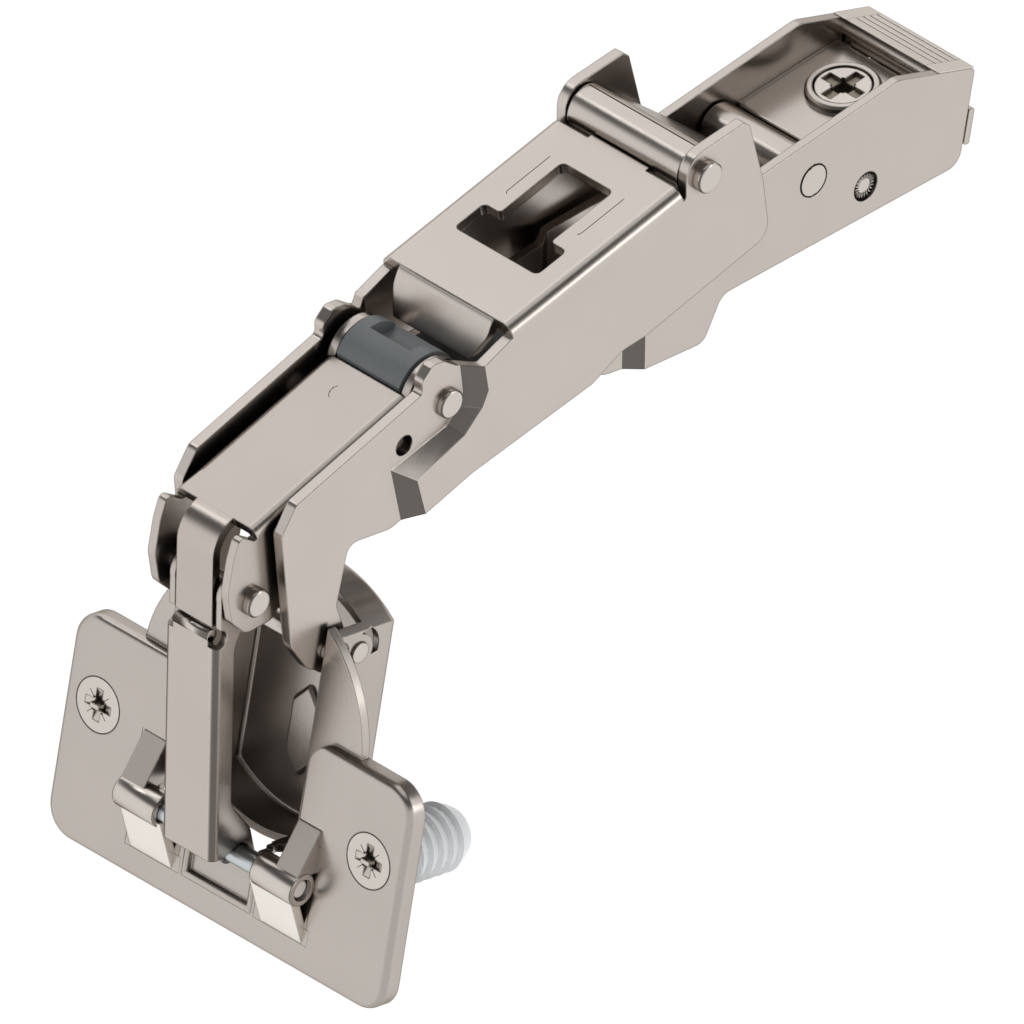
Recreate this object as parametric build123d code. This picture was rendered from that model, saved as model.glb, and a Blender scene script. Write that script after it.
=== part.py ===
from build123d import *
import os
from math import asin, cos, degrees, radians, sin

# Concealed cabinet hinge with a folding chain of links, shown fully open.
# x runs along the arm to its rear, z is up from the arm's seat, y is across.
# The origin is on the seat, on the mid-plane. Pivots are given as (x, z).

# Pivots
NOSE_PIVOT = (-43.0, 1.9)
REAR_PIVOT = (-3.3, 9.2)
LINK_PIVOT = (-23.7, 20.6)
MIDDLE_PIVOT = (-64.3, 6.5)
LEVER_PIVOT = (-94.1, -8.85)
LEG_PIVOT = (-83.4, -19.7)
LATCH_PIVOT = (5.5, 4.2)
NOSE_SLOT_LOW = (-41.9, 1.2)
NOSE_SLOT_END = (-40.4, 1.45)

# Pins and their holes
PIN_FIT = 0.05
REAR_PIN_R = 1.6
REAR_RIVET_R = 2.1
EAR_PIN_R = 1.6
EAR_HEAD_R = 2.0
EAR_HEAD = 1.1
MIDDLE_PIN_R = 1.5
MIDDLE_HEAD_R = 1.85
MIDDLE_HEAD = 0.8
NOSE_PIN_R = 1.6
LEVER_PIN_R = 1.4
LEVER_HEAD_R = 1.8
LEVER_HEAD = 1.15
LEG_PIN_R = 1.5
CUP_PIN_R = 1.35
LATCH_PIN_R = 1.5
LATCH_HOLE_R = 1.95
SLOT_SLACK = 0.7

# Distances of the sheet faces from the mid-plane
OUTER_FACE = 10.8
OUTER_SHEET = 1.45
OUTER_DROP = 1.8
EAR_R = 3.0
MIDDLE_FACE = 6.7
MIDDLE_SHEET = 1.2
MIDDLE_DROP = 0.8
ARM_FACE = 8.8
ARM_SHEET = 1.2
ARM_DROP = 1.5
LEVER_FACE = 4.3
LEVER_SHEET = 0.9
LEVER_FRONT = -97.7
LEVER_TOP = -14.4
ROLL_R = 3.0
LINK_SHEET = 1.4
EAR_ROLL_HALF = 9.1
REAR_ROLL_HALF = 7.3

# Slide in the arm, with the depth screw on its floor
SLIDE_FACE = 7.3
SLIDE_SHEET = 1.1
FLOOR_SLOPE = 4.6
SCREW_SEAT = (10.4, 11.25)
SCREW_COLLAR_R = 4.6
DEPTH_HEAD_R = 3.6
DEPTH_SHANK_R = 2.0

# Rivets in the cup's side walls
RIVET_PLACE = (-80.1, -20.85)
RIVET_R = 1.3

# Webs: front corner, slope and length
OUTER_WEB = (-55.7, 13.9)
OUTER_SLOPE = 12.4
TONGUE_TOP_HALF = 7.8
TONGUE_END_HALF = 6.0
OUTER_WEB_GAP = 0.84
MIDDLE_WEB = (-93.9, 0.95)
MIDDLE_SLOPE = 15.93
MIDDLE_WEB_LENGTH = 26.05

# Flange and cup: across, up the flange and into the door
FLANGE = (-90.0, -40.1)
FLANGE_TILT = 10.0
FLANGE_HALF = 28.0
FLANGE_TOP = 11.0
FLANGE_BOTTOM = -18.8
FLANGE_SHEET = 1.3
FLANGE_DEPTH = 2.6
CORNER_R = 4.0
NOTCH_HALF = 11.0
NOTCH_BOTTOM = -6.5
CUP_R = 17.5
CUP_CENTRE = 9.5
CUP_HALF = 10.65
CUP_SHEET = 1.0
CUP_DEPTH = 12.5
CUP_PIN_UP = -7.0
CUP_PIN_FRONT = 1.95
KNUCKLE_R = 2.2
KNUCKLE_INNER = 8.0
KNUCKLE_OUTER = 14.85
RIM_CUT_DEPTH = 7.2
SCREW_ACROSS = 22.5
SCREW_HEAD_R = 3.5
SCREW_SHANK_R = 1.8
DOWEL_R = 4.0
DOWEL_LENGTH = 12.8

CUP_PLANE = Plane(
    origin=(FLANGE[0], 0, FLANGE[1]),
    x_dir=(0, -1, 0),
    z_dir=(-cos(radians(FLANGE_TILT)), 0, sin(radians(FLANGE_TILT))),
)


def outline(points, radii):
    """Closed outline with one corner radius for each point."""
    return make_face(FilletPolyline(*points, radius=radii, close=True))


def disc(pivot, radius):
    """Disc about a pivot."""
    return Pos(*pivot) * Circle(radius)


def plate(sketch, inner, outer):
    """Plate between two distances from the mid-plane, on the near side."""
    return extrude(Plane.XZ.offset(inner) * sketch, amount=outer - inner)


def across(sketch, half):
    """Solid across the hinge, as far each side of the mid-plane."""
    return extrude(Plane.XZ * sketch, amount=half, both=True)


def pair(solid):
    """A near-side solid with its mirror image."""
    return solid + mirror(solid, about=Plane.XZ)


def strip(points, radius, thickness):
    """Edge view of a bent sheet that follows a line through its middle."""
    return trace(FilletPolyline(*points, radius=radius), line_width=thickness)


def headed_pin(pivot, radius, face, head_radius, height):
    """Riveted pin whose chamfered heads lie on the plates' outer faces."""
    body = across(disc(pivot, radius), face + height / 2)
    head = plate(disc(pivot, head_radius), face, face + height)
    rim = head.edges().group_by(Axis.Y)[0]
    return body + pair(chamfer(rim, 0.2))


def joggled(sketch, face, sheet, drop, high_line, low_line):
    """Side plate set inwards by a step; the two lines bound the step's ramp."""
    deep = 5.0
    block = plate(sketch, face - deep, face)
    spread = 0.2
    grow = 1 + spread / drop
    top_line = [
        (low[0] + (high[0] - low[0]) * grow, low[1] + (high[1] - low[1]) * grow)
        for low, high in zip(low_line, high_line)
    ]
    bottom = Plane.XZ.offset(face - drop) * make_face(Polyline(*low_line, close=True))
    top = Plane.XZ.offset(face + spread) * make_face(Polyline(*top_line, close=True))
    stepped = block - loft([bottom, top], ruled=True)
    return stepped - Pos(0, sheet, 0) * stepped


def web_channel(corner, slope, length, half, depth, sheet, bend):
    """Web of a channel with its rounded bends and the start of both sides."""
    grip = (Align.MIN, Align.CENTER, Align.MAX)
    body = Box(length, 2 * half, depth, align=grip)
    body = fillet(body.edges().filter_by(Axis.X).group_by(Axis.Z)[-1], bend)
    room = Box(length, 2 * (half - sheet), depth, align=grip)
    room = fillet(room.edges().filter_by(Axis.X).group_by(Axis.Z)[-1], bend - sheet + 0.3)
    body = body - Pos(0, 0, -sheet) * room
    return Location((corner[0], 0, corner[1]), (0, -slope, 0)) * body


def outer_web_length():
    """Length of the outer web, from its front corner to the rolled link's eye."""
    slope = radians(OUTER_SLOPE)
    along = (LINK_PIVOT[0] - OUTER_WEB[0]) * cos(slope)
    rise = (LINK_PIVOT[1] - OUTER_WEB[1]) * sin(slope)
    return along + rise - ROLL_R - OUTER_WEB_GAP


def arm_channel():
    """Arm: two side walls, nose ears set inwards, ribbed rear cover."""
    walls = outline(
        [
            (-43.0, 5.7),
            (-34.0, 6.9),
            (-17.5, 7.4),
            (-12.4, 14.0),
            (10.8, 16.8),
            (23.5, 12.6),
            (21.1, 0.0),
            (-18.3, 0.0),
            (-21.3, -5.4),
            (-31.0, -4.6),
            (-36.4, -3.7),
            (-41.2, -0.8),
            (-43.0, -1.9),
        ],
        [0, 3, 4, 1.2, 3, 0.8, 2.2, 2.2, 1.8, 4, 4, 3, 0],
    )
    nose_r = 3.8
    walls = walls + disc(NOSE_PIVOT, nose_r) + disc(NOSE_SLOT_END, nose_r)
    high_line = [(-31.1, -10), (-31.1, 12), (-60, 12), (-60, -10)]
    low_line = [(-33.4, -10), (-33.4, 12), (-60, 12), (-60, -10)]
    side = joggled(walls, ARM_FACE, ARM_SHEET, ARM_DROP, high_line, low_line)
    slot = make_hull(
        disc(NOSE_PIVOT, NOSE_PIN_R + PIN_FIT).edges()
        + disc(NOSE_SLOT_LOW, NOSE_PIN_R + SLOT_SLACK / 2).edges()
        + disc(NOSE_SLOT_END, NOSE_PIN_R + SLOT_SLACK).edges()
    )
    side = side - plate(slot, 0, ARM_FACE)
    side = side - plate(disc(REAR_PIVOT, REAR_RIVET_R + PIN_FIT), 0, ARM_FACE)
    side = side - plate(disc(LATCH_PIVOT, LATCH_HOLE_R), 0, ARM_FACE)
    cover = strip([(18.2, 11.1), (18.2, 13.72), (22.9, 12.2)], 0.9, ARM_SHEET)
    bridge = strip([(-30.2, -4.0), (-21.9, -4.7), (-19.5, -1.2)], 1.8, ARM_SHEET)
    inside = ARM_FACE - ARM_SHEET
    arm = pair(side) + across(cover, inside) + across(bridge, inside)
    groove = Location((19.1, 0, 14.05), (0, 18, 0)) * Box(0.6, 13.0, 0.6)
    for step in range(4):
        arm = arm - Pos(1.15 * step, 0, -0.375 * step) * groove
    return arm


def screw_place():
    """Place on the slide's floor where the depth screw stands."""
    return Location((SCREW_SEAT[0], 0, SCREW_SEAT[1]), (0, -FLOOR_SLOPE, 0))


def base_slide():
    """Folded slide inside the arm: flat seat, side walls and screw floor."""
    walls = outline(
        [(-16, 0), (20, 0), (20, 7.0), (17.0, 11.77), (0.3, 10.43), (0.3, 5.6), (-9, 5.6), (-16, 2.6)],
        [0.6, 0.6, 1.5, 0.6, 0.6, 1.0, 2.0, 0.6],
    )
    sides = pair(plate(walls, SLIDE_FACE - SLIDE_SHEET, SLIDE_FACE))
    floor = outline([(0.3, 10.43), (17.0, 11.77), (17.1, 10.62), (0.4, 9.28)], [0.3] * 4)
    seat = outline([(-16, 0), (20, 0), (20, SLIDE_SHEET), (-16, SLIDE_SHEET)], [0.3] * 4)
    slide = sides + across(floor, SLIDE_FACE - SLIDE_SHEET / 2) + across(seat, SLIDE_FACE - SLIDE_SHEET / 2)
    collar = Cylinder(SCREW_COLLAR_R, 1.0, align=(Align.CENTER, Align.CENTER, Align.MIN))
    collar = chamfer(collar.edges().group_by(Axis.Z)[-1], 0.3)
    slide = slide + screw_place() * Pos(0, 0, -0.1) * collar
    recess = Cylinder(DEPTH_HEAD_R + PIN_FIT, 2, align=(Align.CENTER, Align.CENTER, Align.MIN))
    slide = slide - screw_place() * recess
    slide = slide - screw_place() * Cylinder(DEPTH_SHANK_R + PIN_FIT, 40)
    return slide - across(disc(LATCH_PIVOT, LATCH_PIN_R + PIN_FIT), ARM_FACE)


def depth_screw():
    """Cross-recess depth screw standing in the slide."""
    up = (Align.CENTER, Align.CENTER, Align.MIN)
    head = Cylinder(DEPTH_HEAD_R, 0.75, align=up)
    head = chamfer(head.edges().group_by(Axis.Z)[-1], 0.2)
    shank = Pos(0, 0, -10.6) * Cylinder(DEPTH_SHANK_R, 11, align=up)
    cross = Box(5.8, 1.5, 1.2) + Box(1.5, 5.8, 1.2) + Box(2.2, 2.2, 4.0)
    screw = head + shank - Pos(0, 0, 0.75) * cross
    return screw_place() * screw


def latch_pin():
    """Pin carried by the slide, its ends recessed in the arm's round holes."""
    body = across(disc(LATCH_PIVOT, LATCH_PIN_R), ARM_FACE - 0.3)
    ends = body.edges().filter_by(GeomType.CIRCLE)
    return chamfer(ends, 0.35)


def clip_lever():
    """Forked release lever on the latch pin, with its thumb plate behind the arm."""
    fork = outline(
        [(2.7, 4.2), (5.5, 7.0), (16.0, 6.4), (22.2, 5.4), (21.7, 2.2), (16.0, 2.4), (5.5, 1.6)],
        [1.8, 1.8, 3, 0.4, 0.4, 3, 1.8],
    )
    sides = pair(plate(fork, 4.4, 5.6))
    back = across(outline([(17.0, 6.25), (23.4, 5.4), (23.1, 2.2), (17.0, 2.4)], [0.4] * 4), 5.0)
    thumb = outline([(22.4, 1.8), (23.3, 1.6), (24.2, 6.3), (23.3, 6.5)], [0.3] * 4)
    lever = sides + back + across(thumb, 8.2)
    return lever - across(disc(LATCH_PIVOT, LATCH_PIN_R + PIN_FIT), ARM_FACE)


def lever_spring():
    """Leaf spring on the slide's seat, bearing under the lever."""
    leaf = strip([(-6.0, 1.35), (14.5, 1.35), (18.2, 1.95)], 4.0, 0.4)
    return across(leaf, 3.4) - Pos(11.2, 0, 1) * Cylinder(2.5, 4)


def arm_pin():
    """Rear pivot pin, riveted flush in the arm's walls."""
    body = across(disc(REAR_PIVOT, REAR_PIN_R), ARM_FACE - 0.3)
    end = plate(disc(REAR_PIVOT, REAR_RIVET_R), ARM_FACE - ARM_SHEET, ARM_FACE + 0.05)
    return body + pair(end)


def inner_link():
    """Link of one strip, rolled round a pin at each end, to opposite sides."""
    middle_r = ROLL_R - LINK_SHEET / 2
    across_x = REAR_PIVOT[0] - LINK_PIVOT[0]
    across_z = REAR_PIVOT[1] - LINK_PIVOT[1]
    run = Vector(across_x, across_z)
    turn = Vector(1, 0).get_signed_angle(run, Vector(0, 0, 1))
    lean = radians(turn - degrees(asin(2 * middle_r / run.length)))
    normal = Vector(-sin(lean), cos(lean))
    start = Vector(*LINK_PIVOT) + normal * middle_r
    stop = Vector(*REAR_PIVOT) - normal * middle_r
    band = trace(Line((start.X, start.Y), (stop.X, stop.Y)), line_width=LINK_SHEET)
    link = across(band, REAR_ROLL_HALF)
    link = link + across(disc(LINK_PIVOT, ROLL_R), EAR_ROLL_HALF)
    link = link + across(disc(REAR_PIVOT, ROLL_R), REAR_ROLL_HALF)
    link = link - across(disc(LINK_PIVOT, EAR_PIN_R + PIN_FIT), EAR_ROLL_HALF)
    return link - across(disc(REAR_PIVOT, REAR_PIN_R + PIN_FIT), EAR_ROLL_HALF)


def ear_pin():
    """Pin through the outer channel's rear ears and the inner link."""
    return headed_pin(LINK_PIVOT, EAR_PIN_R, OUTER_FACE, EAR_HEAD_R, EAR_HEAD)


def outer_channel():
    """Long outer channel: ribbed side plates, web with window, front tongue, two legs."""
    sides = outline(
        [
            (-91.8, 0.1),
            (-89.4, 3.6),
            (-68.5, 9.6),
            (-68.7, 11.3),
            (-67.0, 12.9),
            (-65.0, 12.6),
            (-62.8, 11.0),
            (-60.0, 10.4),
            (-55.6, 12.2),
            (LINK_PIVOT[0] - EAR_R, 18.5),
            (LINK_PIVOT[0] - EAR_R, 23.9),
            (-17.1, 24.9),
            (-16.2, 24.1),
            (-13.8, 15.2),
            (-12.6, 7.0),
            (-33.0, 2.1),
            (-37.0, 1.8),
            (-41.8, -0.6),
            (-61.8, -3.9),
            (-73.5, -7.2),
            (-80.5, -6.1),
            (-82.4, -14.0),
            (-80.6, -19.0),
            (-84.0, -22.4),
            (-87.0, -20.9),
            (-89.8, -16.6),
        ],
        [1.2, 1.2, 0.8, 1, 1, 1, 1.2, 1.5, 0.5, 0.5, EAR_R, 0.4, 0.4, 6, 2.4]
        + [4, 3, 3, 6, 3, 1.6, 1.5, 1.0, 0.8, 2, 3],
    )
    sides = sides + disc(LEG_PIVOT, 3.0)
    high_line = [
        (-67.8, -12.1),
        (-71.0, -0.7),
        (-63.3, 2.0),
        (-60.3, 4.7),
        (-59.3, 6.7),
        (-60.0, 10.4),
        (-61.0, 17.9),
        (-110, 17.9),
        (-110, -26.0),
        (-67.8, -26.0),
    ]
    low_line = [
        (-70.6, -12.1),
        (-73.7, 1.2),
        (-64.4, 3.3),
        (-62.4, 5.1),
        (-61.8, 6.9),
        (-62.4, 10.9),
        (-63.0, 17.9),
        (-110, 17.9),
        (-110, -26.0),
        (-70.6, -26.0),
    ]
    side = joggled(sides, OUTER_FACE, OUTER_SHEET, OUTER_DROP, high_line, low_line)
    sight_hole = plate(disc((-71.5, 3.7), 1.35), 0, OUTER_FACE)
    channel = pair(side - sight_hole)
    channel = channel + web_channel(
        OUTER_WEB, OUTER_SLOPE, outer_web_length(), OUTER_FACE, 4.5, OUTER_SHEET, 1.6
    )
    tongue = strip([(-48.0, 14.85), (-55.2, 13.27), (-57.5, 8.0)], 1.3, OUTER_SHEET)
    tongue = across(tongue, TONGUE_TOP_HALF)
    front = outline(
        [(-TONGUE_TOP_HALF, 16), (TONGUE_TOP_HALF, 16), (TONGUE_TOP_HALF, 11.4), (TONGUE_END_HALF, 7.6)]
        + [(-TONGUE_END_HALF, 7.6), (-TONGUE_TOP_HALF, 11.4)],
        [0, 0, 2.5, 2.0, 2.0, 2.5],
    )
    tongue = tongue & Pos(OUTER_WEB[0], 0, 0) * extrude(Plane.YZ * front, amount=12, both=True)
    channel = channel + tongue
    window = outline(
        [(8.3, -6.9), (13.4, -6.9), (13.4, -4.25), (24.0, -4.25)]
        + [(24.0, 4.25), (13.4, 4.25), (13.4, 6.9), (8.3, 6.9)],
        [0.8, 0.8, 0.5, 0.8, 0.8, 0.5, 0.8, 0.8],
    )
    on_web = Location((OUTER_WEB[0], 0, OUTER_WEB[1]), (0, -OUTER_SLOPE, 0))
    channel = channel - on_web * extrude(window, amount=3, both=True)
    channel = channel + on_web * Pos(outer_web_length(), 0, -OUTER_SHEET / 2) * Box(1.2, 9.6, OUTER_SHEET)
    channel = channel - across(disc(LINK_PIVOT, EAR_PIN_R + PIN_FIT), 12)
    channel = channel - across(disc(MIDDLE_PIVOT, MIDDLE_PIN_R + PIN_FIT), 12)
    return channel - across(disc(LEG_PIVOT, LEG_PIN_R + PIN_FIT), 12)


def middle_pin():
    """Pin through the outer channel's middle ears, the middle channel and the sleeve."""
    face = OUTER_FACE - OUTER_DROP
    return headed_pin(MIDDLE_PIVOT, MIDDLE_PIN_R, face, MIDDLE_HEAD_R, MIDDLE_HEAD)


def middle_channel():
    """Middle channel: web with curled front tongue, front ears and two rear arms."""
    sides = outline(
        [
            (-98.3, -6.3),
            (-97.5, -1.9),
            (-96.4, 1.2),
            (-93.9, -0.5),
            (-69.3, 6.5),
            (-64.3, 9.5),
            (-59.0, 5.3),
            (-43.0, 5.1),
            (-43.0, -1.3),
            (-60.0, 0.4),
            (-66.0, 1.6),
            (-84.5, -5.6),
            (-88.8, -11.0),
            (-91.0, -13.1),
            (-95.2, -13.1),
            (-97.5, -10.6),
        ],
        [3, 3, 0.8, 0.5, 0.5, 0.5, 2, 0, 0, 4, 4, 4, 1.2, 1.5, 2, 2],
    )
    sides = sides + disc(MIDDLE_PIVOT, 4.6) + disc(NOSE_PIVOT, 3.2)
    high_line = [(-60.6, -6), (-60.6, 14), (-30, 14), (-30, -6)]
    low_line = [(-57.4, -6), (-57.4, 14), (-30, 14), (-30, -6)]
    side = joggled(sides, MIDDLE_FACE, MIDDLE_SHEET, MIDDLE_DROP, high_line, low_line)
    channel = pair(side) + web_channel(
        MIDDLE_WEB, MIDDLE_SLOPE, MIDDLE_WEB_LENGTH, MIDDLE_FACE, 3.5, MIDDLE_SHEET, 1.3
    )
    tongue = strip([(-96.6, -13.1), (-96.6, -0.45), (-80.0, 4.28)], 3.95, MIDDLE_SHEET)
    channel = channel + across(tongue, 3.0)
    channel = channel - across(disc(MIDDLE_PIVOT, MIDDLE_PIN_R + PIN_FIT), 12)
    channel = channel - across(disc(NOSE_PIVOT, NOSE_PIN_R + PIN_FIT), 12)
    return channel - across(disc(LEVER_PIVOT, LEVER_PIN_R + PIN_FIT), 12)


def bearing_sleeve():
    """Plastic sleeve on the middle pin, shaped to the end of the middle web."""
    barrel = across(disc(MIDDLE_PIVOT, 4.9), 5.2)
    on_web = Location((MIDDLE_WEB[0], 0, MIDDLE_WEB[1]), (0, -MIDDLE_SLOPE, 0))
    under = Box(10, 14, 6, align=(Align.MAX, Align.CENTER, Align.MIN))
    barrel = barrel - on_web * Pos(MIDDLE_WEB_LENGTH + 0.3, 0, -MIDDLE_SHEET - 0.1) * under
    scoop = across(disc((-62.2, 12.4), 3.0), 3.4)
    barrel = barrel - scoop
    return barrel - across(disc(MIDDLE_PIVOT, MIDDLE_PIN_R + PIN_FIT), 12)


def nose_pin():
    """Pin of the middle channel that runs in the arm's nose."""
    return across(disc(NOSE_PIVOT, NOSE_PIN_R), 7.25)


def lever_pin():
    """Pin through the middle channel's front ears and the cup lever."""
    return headed_pin(LEVER_PIVOT, LEVER_PIN_R, MIDDLE_FACE, LEVER_HEAD_R, LEVER_HEAD)


def cup_pin_place():
    """The cup pin's axis as (x, z)."""
    up = (sin(radians(FLANGE_TILT)), cos(radians(FLANGE_TILT)))
    front = (-up[1], up[0])
    return (
        FLANGE[0] + CUP_PIN_UP * up[0] + CUP_PIN_FRONT * front[0],
        FLANGE[1] + CUP_PIN_UP * up[1] + CUP_PIN_FRONT * front[1],
    )


def cup_lever():
    """Narrow channel from the lever pin down to a saddle over the cup pin."""
    pin_x, pin_z = cup_pin_place()
    low_end = pin_z + 0.75
    length = LEVER_TOP - low_end
    body = Box(3.1, 2 * LEVER_FACE, length, align=(Align.MIN, Align.CENTER, Align.MAX))
    body = fillet(body.edges().filter_by(Axis.Z).group_by(Axis.X)[0], 1.0)
    inner = 2 * (LEVER_FACE - LEVER_SHEET)
    room = Box(3.1, inner, length, align=(Align.MIN, Align.CENTER, Align.MAX))
    body = Pos(LEVER_FRONT, 0, LEVER_TOP) * (body - Pos(LEVER_SHEET, 0, 0) * room)
    sides = outline(
        [
            (-96.9, -16.0),
            (pin_x - 3.25, low_end),
            (pin_x + 1.55, pin_z - 1.45),
            (pin_x + 2.65, pin_z - 0.95),
            (pin_x + 1.75, pin_z + 3.05),
            (pin_x - 1.45, pin_z + 7.65),
            (-94.6, -16.5),
            (-91.4, -11.5),
            (-91.2, -8.9),
            (-96.9, -8.9),
        ],
        [0.3, 0.6, 0.4, 0.6, 2, 3, 4, 1, 0, 0],
    )
    sides = sides + disc(LEVER_PIVOT, 2.85)
    away = (pin_x - 2.6, pin_z - 4.4)
    aside = (pin_x - 4.2, pin_z - 1.65)
    pin_space = disc((pin_x, pin_z), CUP_PIN_R + 0.15)
    saddle = make_hull(pin_space.edges() + disc(away, CUP_PIN_R + 0.15).edges())
    saddle = saddle + make_hull(pin_space.edges() + disc(aside, CUP_PIN_R + 0.15).edges())
    lever = body + pair(plate(sides, LEVER_FACE - LEVER_SHEET, LEVER_FACE))
    relief = plate(disc((LEVER_FRONT + 0.5, LEVER_TOP), 1.3), LEVER_FACE - 1.4, LEVER_FACE + 1)
    lever = lever - across(saddle, 12) - pair(relief)
    return lever - across(disc(LEVER_PIVOT, LEVER_PIN_R + PIN_FIT), 12)


def knuckle_profile():
    """Edge view of a bridge pressed up from the flange over the cup pin."""
    eye = Pos(CUP_PIN_UP, CUP_PIN_FRONT)
    over = Polyline((-15.0, 0), (0.5, 0), (0.5, -FLANGE_SHEET), (-15.0, -FLANGE_SHEET), close=True)
    under = Polyline((-13.4, -0.3), (-1.1, -0.3), (-1.1, -3), (-13.4, -3), close=True)
    bump = make_hull((eye * Circle(KNUCKLE_R)).edges() + over.edges())
    room = make_hull((eye * Circle(KNUCKLE_R - 1.1)).edges() + under.edges())
    return bump - room + eye * Circle(KNUCKLE_R)


def knuckle(low, high, inner, outer):
    """Part of the bridge between two heights and two distances from the middle."""
    side = Plane((0, 0, 0), x_dir=(0, 1, 0), z_dir=(1, 0, 0))
    bridge = extrude(side.offset(inner) * knuckle_profile(), amount=outer - inner)
    keep = Pos(0, low, 0) * Box(40, high - low, 20, align=(Align.CENTER, Align.MIN, Align.CENTER))
    return bridge & keep


def cup_region(radius, half):
    """The cup's outline: a disc cut by its two flat side walls."""
    return Pos(0, CUP_CENTRE) * Circle(radius) & Rectangle(2 * half, 80)


def cup_bowl():
    """Deep-drawn bowl with flat side walls, open at the front."""
    shell = extrude(cup_region(CUP_R, CUP_HALF), amount=-CUP_DEPTH)
    shell = fillet(shell.edges().group_by(Axis.Z)[0], 1.1)
    room = extrude(cup_region(CUP_R - CUP_SHEET, CUP_HALF - CUP_SHEET), amount=-(CUP_DEPTH - CUP_SHEET))
    room = fillet(room.edges().group_by(Axis.Z)[0], 0.6)
    bowl = shell - room
    front = Box(60, 80, FLANGE_SHEET, align=(Align.CENTER, Align.CENTER, Align.MAX))
    return bowl - front


def cup_bead():
    """Long six-sided bead pressed up from the bowl's floor."""
    bead = outline(
        [(0, 6.2), (2.4, 3.4), (2.4, -3.4), (0, -6.2), (-2.4, -3.4), (-2.4, 3.4)],
        [0.5, 1.2, 1.2, 0.5, 1.2, 1.2],
    )
    bead = extrude(bead, amount=0.7)
    bead = chamfer(bead.edges().group_by(Axis.Z)[-1], 0.4)
    return Pos(0, 4.0, CUP_SHEET - CUP_DEPTH - 0.05) * bead


def cup_ears():
    """Crescent lugs beside the side walls, above the flange."""
    ring = Pos(0, CUP_CENTRE) * Circle(CUP_R + 0.5) - Rectangle(2 * (CUP_HALF - CUP_SHEET), 80)
    ring = ring & Pos(0, FLANGE_TOP - 3) * Rectangle(80, 40, align=(Align.CENTER, Align.MIN))
    return Pos(0, 0, -FLANGE_DEPTH) * extrude(ring, amount=FLANGE_SHEET)


def flange():
    """Screw flange with rounded, turned-back rim and the open notch."""
    height = FLANGE_TOP - FLANGE_BOTTOM
    middle = (FLANGE_TOP + FLANGE_BOTTOM) / 2
    body = extrude(Pos(0, middle) * RectangleRounded(2 * FLANGE_HALF, height, CORNER_R), amount=-FLANGE_DEPTH)
    body = fillet(body.edges().group_by(Axis.Z)[-1], 1.0)
    inset = 2 * FLANGE_SHEET
    back = RectangleRounded(2 * FLANGE_HALF - inset, height - inset, CORNER_R - FLANGE_SHEET)
    body = body - Pos(0, 0, -FLANGE_DEPTH) * extrude(Pos(0, middle) * back, amount=FLANGE_DEPTH - FLANGE_SHEET)
    flare = 3.4
    mouth = NOTCH_HALF + flare + 0.1
    above = FLANGE_TOP + flare
    notch = outline(
        [(-mouth, above), (mouth, above), (mouth, FLANGE_TOP), (NOTCH_HALF, FLANGE_TOP)]
        + [(NOTCH_HALF, NOTCH_BOTTOM), (-NOTCH_HALF, NOTCH_BOTTOM)]
        + [(-NOTCH_HALF, FLANGE_TOP), (-mouth, FLANGE_TOP)],
        [0, 0, 0, flare, 5.5, 5.5, flare, 0],
    )
    return body - extrude(notch, amount=FLANGE_DEPTH + 1, both=True)


def cup_shell():
    """Flange, bowl, lugs and pin bridges, formed together."""
    shell = flange() + cup_bowl() + cup_ears() + cup_bead()
    bridge = knuckle(-20, -4.5, 6.2, 15.1) + knuckle(-6, 5, NOTCH_HALF, 15.1)
    ends = Box(1.8, 4.8, 6, align=(Align.MIN, Align.CENTER, Align.CENTER))
    window = Pos((6.6 + 14.6) / 2, -7.4, 0) * Box(8.0, 11.6, 4)
    pocket = Box(11.0, 9.2, 5.4, align=(Align.CENTER, Align.MIN, Align.CENTER))
    shell = shell - window - mirror(window, about=Plane.YZ)
    bridge = bridge - Pos(6.2, CUP_PIN_UP, 2.6) * ends
    shell = shell + bridge + mirror(bridge, about=Plane.YZ)
    shell = shell - Pos(0, -14.2, 0) * pocket
    lower_opening = Pos(0, -7.0, -3.4) * Box(10.0, 5.0, 4.4)
    shell = shell - lower_opening
    eye = Pos(0, CUP_PIN_UP, CUP_PIN_FRONT) * Rot(0, 90, 0)
    shell = shell - eye * Cylinder(CUP_PIN_R + PIN_FIT, 60)
    rim_cut = Box(19.3, 14, RIM_CUT_DEPTH, align=(Align.CENTER, Align.MIN, Align.MAX))
    shell = shell - Pos(0, 17.0, 0) * rim_cut
    for side in (-1, 1):
        cone = Cone(SCREW_SHANK_R + 0.2, SCREW_HEAD_R + PIN_FIT, 0.95)
        hole = Pos(0, 0, -0.88) * cone + Pos(0, 0, -0.2) * Cylinder(SCREW_HEAD_R + PIN_FIT, 0.42)
        hole = hole + Cylinder(SCREW_SHANK_R + 0.2, 6)
        shell = shell - Pos(side * SCREW_ACROSS, 0, 0) * hole
    shell = CUP_PLANE * shell
    shell = shell - across(disc(LEG_PIVOT, LEG_PIN_R + PIN_FIT), 12)
    return shell - across(disc(RIVET_PLACE, RIVET_R + PIN_FIT), 12) - wall_slots()


def wall_slots():
    """Curved slots in the cup's side walls, about the wall rivets."""
    ring = disc(RIVET_PLACE, 3.3) - disc(RIVET_PLACE, 2.3)
    low = Pos(RIVET_PLACE[0] + 0.6, RIVET_PLACE[1] + 0.6) * Rectangle(8, 3.6, align=(Align.MIN, Align.CENTER))
    return across(ring & low, 12)


def wall_rivets():
    """Short rivets in the cup's side walls."""
    return pair(plate(disc(RIVET_PLACE, RIVET_R), 9.3, 10.95))


def cup_pin():
    """Pin held by the flange's bridges."""
    return across(disc(cup_pin_place(), CUP_PIN_R), KNUCKLE_OUTER - 0.6)


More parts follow.
